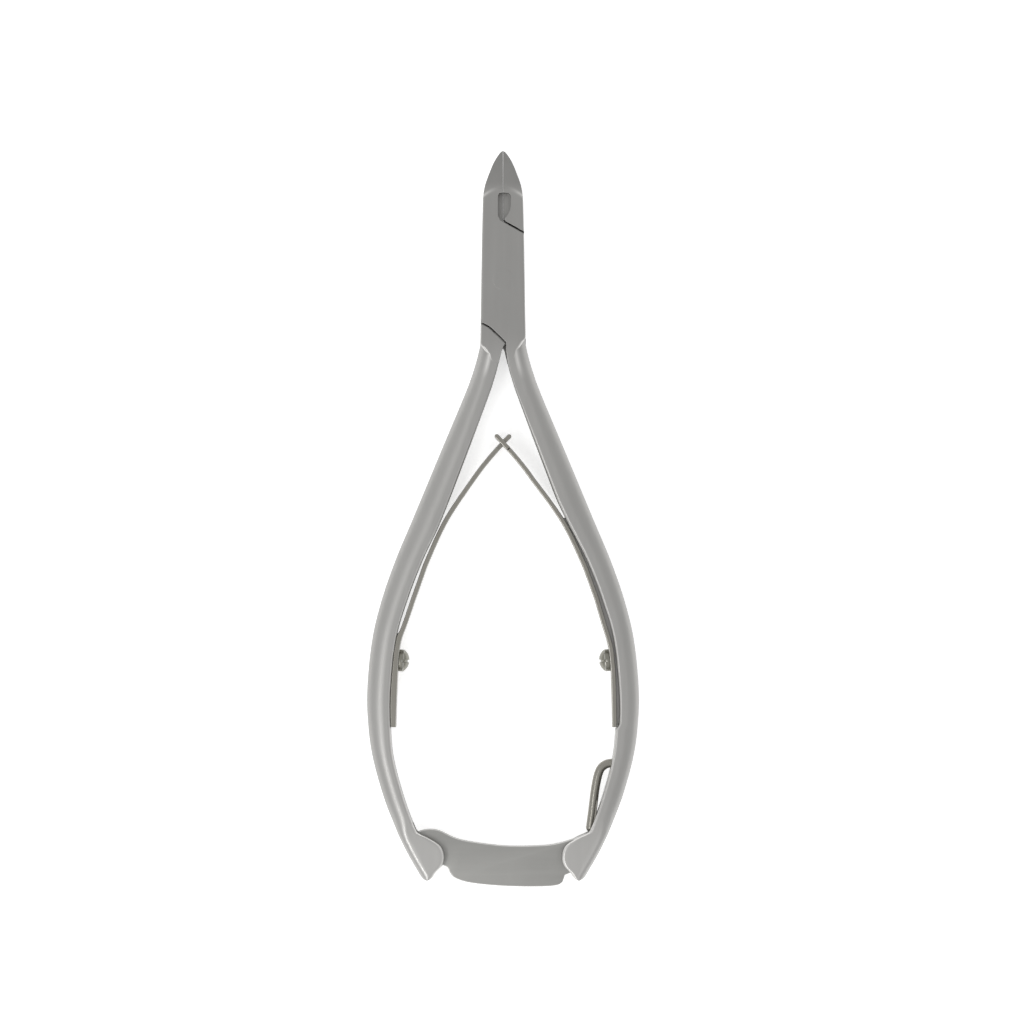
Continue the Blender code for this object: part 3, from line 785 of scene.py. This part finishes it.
def rear_jaw(rim, fine):
    """The rear half of the left jaw, from its seam with the rear cheek to the tip."""
    seam = sideways(smooth_line(UPPER_SEAM, 24), -SEAM_HALF) * (-1, 1)
    seam = seam[seam[:, 0] < -THROAT_RIGHT[0][0]]
    throat = np.array(THROAT_RIGHT) * (-1, 1)
    y = joint_heights(seam[0, 1] + 0.02, TIP / MM, THROAT_TOP)
    left = -nose_half(y)
    right = np.where(y > THROAT_TOP, -CUT_HALF, across_at(y, seam, throat))
    width = (right - left) * MM
    outer, inner = np.where(y < RIM_TOP, rim, fine), 0.3 * fine
    outer, inner = (np.minimum(r, MOST_ROUNDING * width) for r in (outer, inner))
    grid, edge = section_rings(
        y * MM, left * MM, right * MM, level(THICKNESS - MID - LAP_HALF),
        lambda x, y: THICKNESS - grind(x, y), (outer, outer), (inner, inner), flat_low=True, row=22,
    )
    edge = with_crease_highlight(grid, edge)
    grid[..., 2] = THICKNESS - grid[..., 2]
    return shell(grid, edge)


def rear_root(rim):
    """The rear half of the right handle's flat root, under the rear cheek's edge."""
    seam = sideways(smooth_line(LOWER_SEAM, 40), -SEAM_HALF) * (-1, 1)
    seam = seam[seam[:, 0] < nose_half(seam[:, 1]) - 0.06]
    y = joint_heights(REAR_FLAT_END[-1][1] + 0.02, seam[:, 1].max(), seam[:, 1].min())
    left = across_at(y, seam, REAR_FLAT_INNER)
    right = np.where(y < REAR_FLAT_END[0][1], across_at(y, REAR_FLAT_END), nose_half(y))
    width = np.maximum(right - left, 0.05) * MM
    outer = np.minimum(root_rounding(y, rim, rim, REAR_FLAT_END[0][1], REAR_FADE_END), MOST_ROUNDING * width)

    def top(x, y):
        return MID - LAP_HALF + 2 * LAP_HALF * (x > ROOT_STEP_AT * MM)

    grid, edge = section_rings(
        y * MM, left * MM, right * MM, lambda x, y: THICKNESS - top(x, y), level(THICKNESS),
        (0.3 * outer, 0.3 * outer), (outer, outer), flat_low=True, row=16,
    )
    grid[..., 2] = THICKNESS - grid[..., 2]
    at = LOWER_LEDGE
    y = np.linspace(seam[:, 1].min() + 0.02, at["start"], 20)
    start = across_at(y, seam) - at["reach"]
    return [shell(grid, edge), ledge(y, start, start + at["width"], at["low"], MID - LAP_HALF)]


def ledge(y, left, right, low, high, row=3):
    """A plain ledge: y, left and right are in mm, and its flat faces lie at low and high, in metres."""
    edges = (LEDGE_EDGE, LEDGE_EDGE)
    return shell(*section_rings(
        y * MM, left * MM, right * MM, level(low), level(high), edges, edges, row=row, arc=2,
    ))


def throat_web():
    """The thin wall behind the throat, on the left jaw's side of the cutting line."""
    return ledge(np.linspace(*WEB_HEIGHTS, 12), WEB_SIDE, -CUT_HALF, MID - WEB_HALF, MID + WEB_HALF, row=4)


def handle_edges(y, side):
    """The right handle's outer and inner sides at each height, in mm, down to the fork's end."""
    stations = np.array(HANDLE)
    arc = np.linspace(*LOBE_ARC, 18)
    reach = np.sqrt(LOBE_RADIUS**2 - (arc - BAR_PIVOT[1] / MM) ** 2)
    lobe = np.column_stack([arc, BAR_PIVOT[0] / MM - reach])
    outer = smooth_line(np.vstack([stations[:, [0, 1]], END_OUTER]), 1200)[::-1]
    inner = smooth_line(np.vstack([stations[:, [0, 2]], END_INNER, lobe, END_TIP]), 1200)[::-1]
    hollow = np.interp(y, *np.array(HOLLOW[side]).T)
    return np.interp(y, outer[:, 0], outer[:, 1]), np.interp(y, inner[:, 0], inner[:, 1]) + hollow


def handle_run(y, side, tine=False, row=8, arc=12):
    """Sections of the right handle at the given heights, whole or as the fork's front tine.

    The outer side is a wide quarter ellipse and the inner side a narrow one, which starts
    almost sharp at the joint. Towards the fork's lobe both shrink to its flat face and
    small rim. The crest, where the outer rounding starts, is marked for a painted highlight,
    and the rim for a painted highlight on rubbed steel.
    """
    outer, inner = (edge * MM for edge in handle_edges(y, side))
    along = np.clip((y - HANDLE[0][0]) / (THINNEST - HANDLE[0][0]), 0, 1)
    depth = HALF_DEPTH[0] + (HALF_DEPTH[1] - HALF_DEPTH[0]) * along
    lobe = eased((HANDLE[-1][0] + 2.5 - y) / 4.5)
    grown = eased((INNER_EDGE_START - y) / INNER_EDGE_GROWTH)
    width = outer - inner
    wide = (
        (1 - lobe) * (OUTER_SHARE + OUTER_GAIN * grown) * width
        + lobe * np.minimum(LOBE_OUTER[0], LOBE_OUTER_MOST * width),
        (1 - lobe) * OUTER_DEPTH * depth + lobe * LOBE_OUTER[1],
    )
    narrow = (
        (1 - lobe) * (INNER_SHARE + INNER_GAIN * grown) * width
        + lobe * np.minimum(LOBE_INNER[0], LOBE_INNER_MOST * width),
        (1 - lobe) * (INNER_DEPTH + INNER_DEPTH_GAIN * grown) * depth + lobe * LOBE_INNER[1],
    )
    deep = depth[:, None]
    low = level(MID + FORK_HALF if tine else MID - deep)
    grid, edge = section_rings(
        y * MM, inner, outer, low, level(MID + deep), narrow, wide, flat_low=tine, row=row, arc=arc,
    )
    # Painted highlight on the crest, strongest at the lobe and near the joint, and on the rim over rubbed
    # steel.
    root = eased((y - CREST_ROOT_END) / CREST_ROOT_FADE)
    rim = (0.55 + 0.45 * lobe)[:, None] * np.clip(grown + lobe, 0.1, 1)[:, None]
    bell = np.exp(-(((np.linspace(0, 1, arc) - CREST_AT) / CREST_HALF) ** 2))
    crest = np.maximum(CREST_PLAIN + CREST_LOBE * lobe, root)[:, None] * bell
    edge = edge * rim
    edge[:, :arc] = crest
    if not tine:
        edge[:, -arc:] = crest[:, ::-1]
    return grid, edge


def leaf_seat(side):
    """The raised strip, narrower than the leaf, that fills the handle's hollow behind its foot."""
    y = np.linspace(SEAT_BOTTOM, SEAT_TOP[side], 40)
    line = leaf_line(side)
    face = np.interp(y, line[:, 1], -line[:, 0]) + sizes().leaf_thickness / MM / 2
    wall = handle_edges(y, side)[1]
    return ledge(y, np.minimum(face, wall) - 0.02, wall + 0.3, MID - SEAT_HALF, MID + SEAT_HALF)


def handle_shells(side):
    """The handle down to its fork's slot, and the fork's two tines."""
    start = SLOT_TOP[side]
    long_run = np.linspace(HANDLE[0][0], start, sizes().rings)
    fork_run = np.linspace(start, END_OUTER[-1][0], 90)
    front, edge = handle_run(fork_run, side, tine=True)
    rear = front * (1, 1, -1) + (0, 0, THICKNESS)
    return [shell(*handle_run(long_run, side)), shell(front, edge), shell(rear, edge), leaf_seat(side)]


class NIPPER_OT_levers(bpy.types.Operator):
    """Build both levers: jaws with hollow-grind noses, lap joint cheeks, rounded handles and forked ends"""

    bl_idname = "nipper.levers"
    bl_label = "Levers"

    def execute(self, context):
        material = kept_material("brushed_lever_steel", lever_steel)
        rim, fine = sizes().rim, sizes().seam_edge
        for name, side, body, turn in (
            ("front_lever", 1, "front", None), ("rear_lever", -1, "rear", half_turn),
        ):
            shells = [rear_jaw(rim, fine), throat_web()]
            shells += front_half(rim, fine) + rear_root(rim) + handle_shells(side)
            add_piece(name + "_body", shells, material, body, [name], turn)
        return {"FINISHED"}


# ---------------------------------------------------------------- springs


def leaf_line(side):
    """The left leaf's centre line in mm, pushed out towards the handle by that side's bow."""
    line = smooth_line(LEAF, 700)
    line[:, 0] -= np.interp(line[:, 1], *np.array(LEAF_BOW).T) * LEAF_BOW_SHARE[side]
    line[:, 0] -= np.interp(line[:, 1], *np.array(LEAF_SEAT).T) * (side > 0)
    return smooth_line(np.vstack([line[:-1:10], line[-1:]]), 700)


def leaf_run(side, y_low, y_high, low, high, count, round_end=False):
    """A stretch of a leaf spring: a rounded rectangle carried along the leaf's centre line.

    Each section stands square to the line. The left foot is thickened out to its handle's
    wall. With round_end the last sections close in as a quarter circle does, so that the tip
    is rounded.
    """
    line = leaf_line(side)
    line = line[(line[:, 1] >= y_low) & (line[:, 1] <= y_high)]
    line = line[np.linspace(0, len(line) - 1, count).astype(int)] * (-side * MM, MM)
    half = sizes().leaf_thickness / 2
    gap = handle_edges(line[:, 1] / MM, side)[1] * MM - abs(line[:, 0]) - half
    pad = (side < 0) * np.clip(gap, 0, half) * eased((LEAF_LEAVES_HANDLE - line[:, 1] / MM) / 1.5 + 0.5)
    edges = (LEAF_EDGE, LEAF_EDGE)
    grid, edge = section_rings(
        np.arange(count), -half, half + pad, level(low), level(high), edges, edges, row=6, arc=5,
    )
    offset = grid[..., 0]
    if round_end:
        offset = offset * closing(line, half, 0.02)[:, None]
    return shell(carried(line, offset, grid[..., 2]), edge)


class NIPPER_OT_leaf_springs(bpy.types.Operator):
    """Build the two leaf springs, one ending in a tongue and one in a fork around it"""

    bl_idname = "nipper.leaf_springs"
    bl_label = "Leaf springs"

    def execute(self, context):
        material = kept_material("drawn_spring_steel", spring_steel)
        low, high = SPRING_LOW[2], SPRING_HIGH[2]
        foot, tip = LEAF[0][1], LEAF[-1][1]
        for word, side, body in (("right", 1, "front"), ("left", -1, "rear")):
            shells = [leaf_run(side, foot, LEAF_SHOULDER, low, high, 120)]
            if side > 0:
                spans = [(MID + PRONG_INNER, high), (low, MID - PRONG_INNER)]
            else:
                spans = [(MID - TONGUE_HALF, MID + TONGUE_HALF)]
            start = LEAF_SHOULDER - LEAF_OVERLAP
            shells += [leaf_run(side, start, tip, *span, 30, round_end=True) for span in spans]
            nodes = [f"{word}_spring_foot", f"{word}_spring_blade"]
            spring = add_piece(f"{word}_leaf_spring", shells, material, None, nodes)
            root = JOINTS[f"{word}_spring_flex"]["pos_m"]
            start = (root[0], root[1], MID)
            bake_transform(spring)
        return {"FINISHED"}


class NIPPER_OT_wire_spring(bpy.types.Operator):
    """Build the bent wire spring that bears on the lock bar's heel"""

    bl_idname = "nipper.wire_spring"
    bl_label = "Wire spring"

    def execute(self, context):
        radius = sizes().wire_radius
        line = smooth_line(WIRE, 110) * MM
        size = (radius * closing(line, radius, 0.01))[:, None]
        angle = np.linspace(0, 2 * math.pi, 28, endpoint=False)
        skin = shell(carried(line, size * np.cos(angle), MID + size * np.sin(angle)))
        material = kept_material("drawn_spring_steel", spring_steel)
        add_piece("wire_spring_bend", [skin], material, "wire", ["lock_wire_spring"])
        return {"FINISHED"}


# ---------------------------------------------------------------- lock bar and fixings


def bar_outline():
    """The lock bar's outline in metres: its edges as smooth lines, and the notch over the catch pin."""
    catch = -BAR_PIVOT[0] / MM
    notch = [
        (catch + NOTCH_HALF, BAR_BOTTOM[-1][1]), (catch + NOTCH_HALF, NOTCH_TOP),
        (catch - NOTCH_HALF, NOTCH_TOP), (catch - NOTCH_HALF, NOSE_BOTTOM),
        (catch - NOTCH_HALF - NOSE_WIDTH, NOSE_BOTTOM), (catch - NOTCH_HALF - NOSE_WIDTH, NOSE_TOP),
    ]
    edges = [smooth_line(*edge) for edge in ((BAR_TOP, 150), (BAR_HEEL, 50), (BAR_BOTTOM, 120))]
    return np.vstack([*edges, notch]) * MM


class NIPPER_OT_lock_bar(bpy.types.Operator):
    """Build the lock bar, a plate whose rim is a quarter circle on both faces"""

    bl_idname = "nipper.lock_bar"
    bl_label = "Lock bar"

    def execute(self, context):
        outline = bar_outline()
        before, after = np.roll(outline, 1, axis=0), np.roll(outline, -1, axis=0)
        way = after - before
        way /= np.linalg.norm(way, axis=1)[:, None]
        inwards = np.column_stack([way[:, 1], -way[:, 0]])
        rim = sizes().bar_rim
        angle = np.linspace(0, math.pi / 2, 7)
        inset = rim * (1 - np.cos(angle))
        rise = (BAR_HIGH[2] - BAR_LOW[2]) / 2 - rim + rim * np.sin(angle)
        inset = np.r_[inset[::-1], inset]
        height = MID + np.r_[-rise[::-1], rise]
        flat = outline + inset[:, None, None] * inwards
        height, corner = (
            np.broadcast_to(ring[:, None], flat.shape[:2]) for ring in (height, np.r_[angle[::-1], angle])
        )
        material = kept_material("rolled_bar_steel", bar_steel)
        # The rim's corner share gets rubbed steel and a painted highlight in the material.
        skin = shell(np.concatenate([flat, height[..., None]], axis=-1), np.sin(2 * corner))
        add_piece("lock_bar_plate", [skin], material, "bar", ["lock_bar"])
        return {"FINISHED"}


def lathe(profile, centre, count=64):
    """A turned shape: the (radius, height) profile carried round the Z axis through centre."""
    radius, height = np.array(profile, float).T
    angle = np.linspace(0, 2 * math.pi, count, endpoint=False)
    x = centre[0] + radius[:, None] * np.cos(angle)
    y = centre[1] + radius[:, None] * np.sin(angle)
    return shell(np.stack([x, y, np.broadcast_to(height[:, None], x.shape)], axis=-1))


def flush_pin(radius, low, high, centre):
    """A pin with flat ends and a small turned edge."""
    edge = PIN_EDGE
    top = [(radius - 3 * edge, high), (radius - edge, high), (radius - 0.3 * edge, high - 0.3 * edge)]
    low_end = [(r, low + high - z) for r, z in top]
    return lathe([*low_end, (radius, low + edge), (radius, high - edge), *reversed(top)], centre)


def screw_head(side):
    """A domed, slotted screw head in its place on a leaf spring.

    Across the slot the head is a run of sections. Each is as wide as the circle there, its
    top is a sphere's, and inside the slot the top is lowered by the slot's depth. The runs
    are then laid along the leaf, with the dome facing away from the handle.
    """
    line = leaf_line(side)
    at = int(np.argmin(abs(line[:, 1] - SCREW_HEIGHT)))
    way = line[at + 4] - line[at - 4]
    way /= np.linalg.norm(way)
    outwards = np.array([side * way[1], way[0], 0])
    along = np.array([-side * way[0], way[1], 0])
    centre = np.array([-side * line[at][0] * MM, line[at][1] * MM, MID])
    seat = centre - outwards * sizes().leaf_thickness / 2
    radius, rise = sizes().screw_radius, sizes().screw_rise
    t = np.sin(np.linspace(-math.pi / 2, math.pi / 2, 61)) * radius * 0.9995
    walls = [SCREW_SLOT_HALF - SCREW_SLOT_WALL, SCREW_SLOT_HALF + SCREW_SLOT_WALL]
    t = np.unique(np.r_[t, walls, np.negative(walls)])
    half = np.sqrt(radius**2 - t**2)
    dome_rise = DOME_SHARE * rise
    sphere = (radius**2 + dome_rise**2) / (2 * dome_rise)

    def top(x, y):
        dome = rise - sphere + np.sqrt(np.maximum(sphere**2 - x**2 - y**2, 0))
        return dome - SCREW_SLOT_DEPTH * (abs(y) < SCREW_SLOT_HALF)

    small = np.minimum(SCREW_EDGE, 0.4 * half)
    grid, edge = section_rings(t, -half, half, level(0.0), top, (small, small), (small, small), row=24)
    place = seat + grid[..., :1] * (0, 0, 1) + grid[..., 1:2] * along - grid[..., 2:] * outwards
    return shell(place, edge)


class NIPPER_OT_fixings(bpy.types.Operator):
    """Build the flush rivets, the catch pin and the slotted spring screws"""

    bl_idname = "nipper.fixings"
    bl_label = "Rivets, pin and screws"

    def execute(self, context):
        satin = kept_material("brushed_lever_steel", lever_steel)
        fixing = kept_material("turned_steel", fixing_steel)
        for node, body in (("joint_rivet", "front"), ("lock_bar_rivet", "front"), ("catch_pin", "rear")):
            low, high = corners(node)
            centre, radius = (low + high) / 2, (high[0] - low[0]) / 2
            below = PROUD if node == "joint_rivet" else 0.0
            skin = flush_pin(radius, low[2] - below, high[2] + PROUD, centre)
            add_piece(node + "_turned", [skin], satin, body, [node])
        for word, side, body in (("right", 1, "front"), ("left", -1, "rear")):
            name = f"{word}_spring_screw"
            add_piece(name + "_head", [screw_head(side)], fixing, body, [name])
        return {"FINISHED"}


# ---------------------------------------------------------------- stage


class NIPPER_OT_stage(bpy.types.Operator):
    """Set the pale floor, the soft studio light and the camera over the tool"""

    bl_idname = "nipper.stage"
    bl_label = "Stage"

    def execute(self, context):
        stage = context.scene.nipper_stage
        self.floor(context, stage)
        self.light(context, stage)
        self.camera(context, stage)
        return {"FINISHED"}

    def floor(self, context, stage):
        mesh = bpy.data.meshes.new("floor")
        signs = ((-1, -1), (1, -1), (1, 1), (-1, 1))
        points = [(FLOOR_HALF * x, FLOOR_HALF * y, FLOOR_LEVEL) for x, y in signs]
        mesh.from_pydata(points, [], [(0, 1, 2, 3)])
        material, shader = new_material("floor_paper")
        shader.set(Base_Color=rgba(stage.floor_colour), Roughness=0.9, Specular_IOR_Level=0.1)
        shader.set(Emission_Color=(1.0, 1.0, 1.0, 1.0), Emission_Strength=stage.glow)
        mesh.materials.append(material)
        floor = bpy.data.objects.new("floor", mesh)
        context.scene.collection.objects.link(floor)

    def light(self, context, stage):
        world = bpy.data.worlds.new("studio")
        context.scene.world = world
        world.use_nodes = True
        shader = Shader(world.node_tree, "Background")
        way = shader.node("ShaderNodeTexCoord", output="Generated")
        across, up = (shader.node("ShaderNodeSeparateXYZ", None, {0: way}, output=k) for k in (0, 2))
        overhead = shader.span(up, *SKY_HEIGHTS) * (stage.sky - stage.horizon)
        shader.set(Color=(1.0, 1.0, 1.0, 1.0), Strength=stage.horizon + overhead - across * SIDE_TILT)
        lamp = bpy.data.lights.new("strip_light", "AREA")
        lamp.shape = "RECTANGLE"
        lamp.size, lamp.size_y = LAMP_SIZE
        lamp.energy = stage.strip_power
        holder = bpy.data.objects.new("strip_light", lamp)
        across, up = LAMP_DISTANCE * math.sin(LAMP_TILT), LAMP_DISTANCE * math.cos(LAMP_TILT)
        holder.location = (across, LAMP_ALONG, up)
        holder.rotation_euler = (0, LAMP_TILT, 0)
        context.scene.collection.objects.link(holder)

    def camera(self, context, stage):
        camera = bpy.data.cameras.new("camera")
        camera.lens = stage.lens
        camera.sensor_width = SENSOR
        camera.clip_start, camera.clip_end = 0.01, 20.0
        holder = bpy.data.objects.new("camera", camera)
        distance = stage.view_size * stage.lens / SENSOR
        holder.location = (*VIEW_CENTRE[:2], VIEW_CENTRE[2] + distance)
        context.scene.collection.objects.link(holder)
        context.scene.camera = holder
        context.scene.view_settings.view_transform = "Standard"


class NIPPER_PT_panel(bpy.types.Panel):
    """The nipper's builders and settings in the 3D view's sidebar"""

    bl_label = "Cuticle nipper"
    bl_idname = "NIPPER_PT_panel"
    bl_space_type = "VIEW_3D"
    bl_region_type = "UI"
    bl_category = "Nipper"

    def draw(self, context):
        for builder in BUILDERS:
            self.layout.operator(builder.bl_idname)
        for group in ("nipper_sizes", "nipper_finish", "nipper_stage"):
            settings = getattr(context.scene, group)
            for name in settings.__annotations__:
                self.layout.prop(settings, name)


GROUPS = {"nipper_sizes": NipperSizes, "nipper_finish": NipperFinish, "nipper_stage": NipperStage}
BUILDERS = (
    NIPPER_OT_levers, NIPPER_OT_leaf_springs, NIPPER_OT_wire_spring, NIPPER_OT_lock_bar, NIPPER_OT_fixings,
    NIPPER_OT_stage,
)


def register():
    for kind in (*GROUPS.values(), *BUILDERS, NIPPER_PT_panel):
        bpy.utils.register_class(kind)
    for name, kind in GROUPS.items():
        setattr(bpy.types.Scene, name, PointerProperty(type=kind))


def unregister():
    for name in GROUPS:
        delattr(bpy.types.Scene, name)
    for kind in reversed((*GROUPS.values(), *BUILDERS, NIPPER_PT_panel)):
        bpy.utils.unregister_class(kind)


def main():
    register()
    bpy.ops.nipper.levers()
    bpy.ops.nipper.leaf_springs()
    bpy.ops.nipper.wire_spring()
    bpy.ops.nipper.lock_bar()
    bpy.ops.nipper.fixings()
    bpy.ops.nipper.stage()


if __name__ == "__main__":
    main()
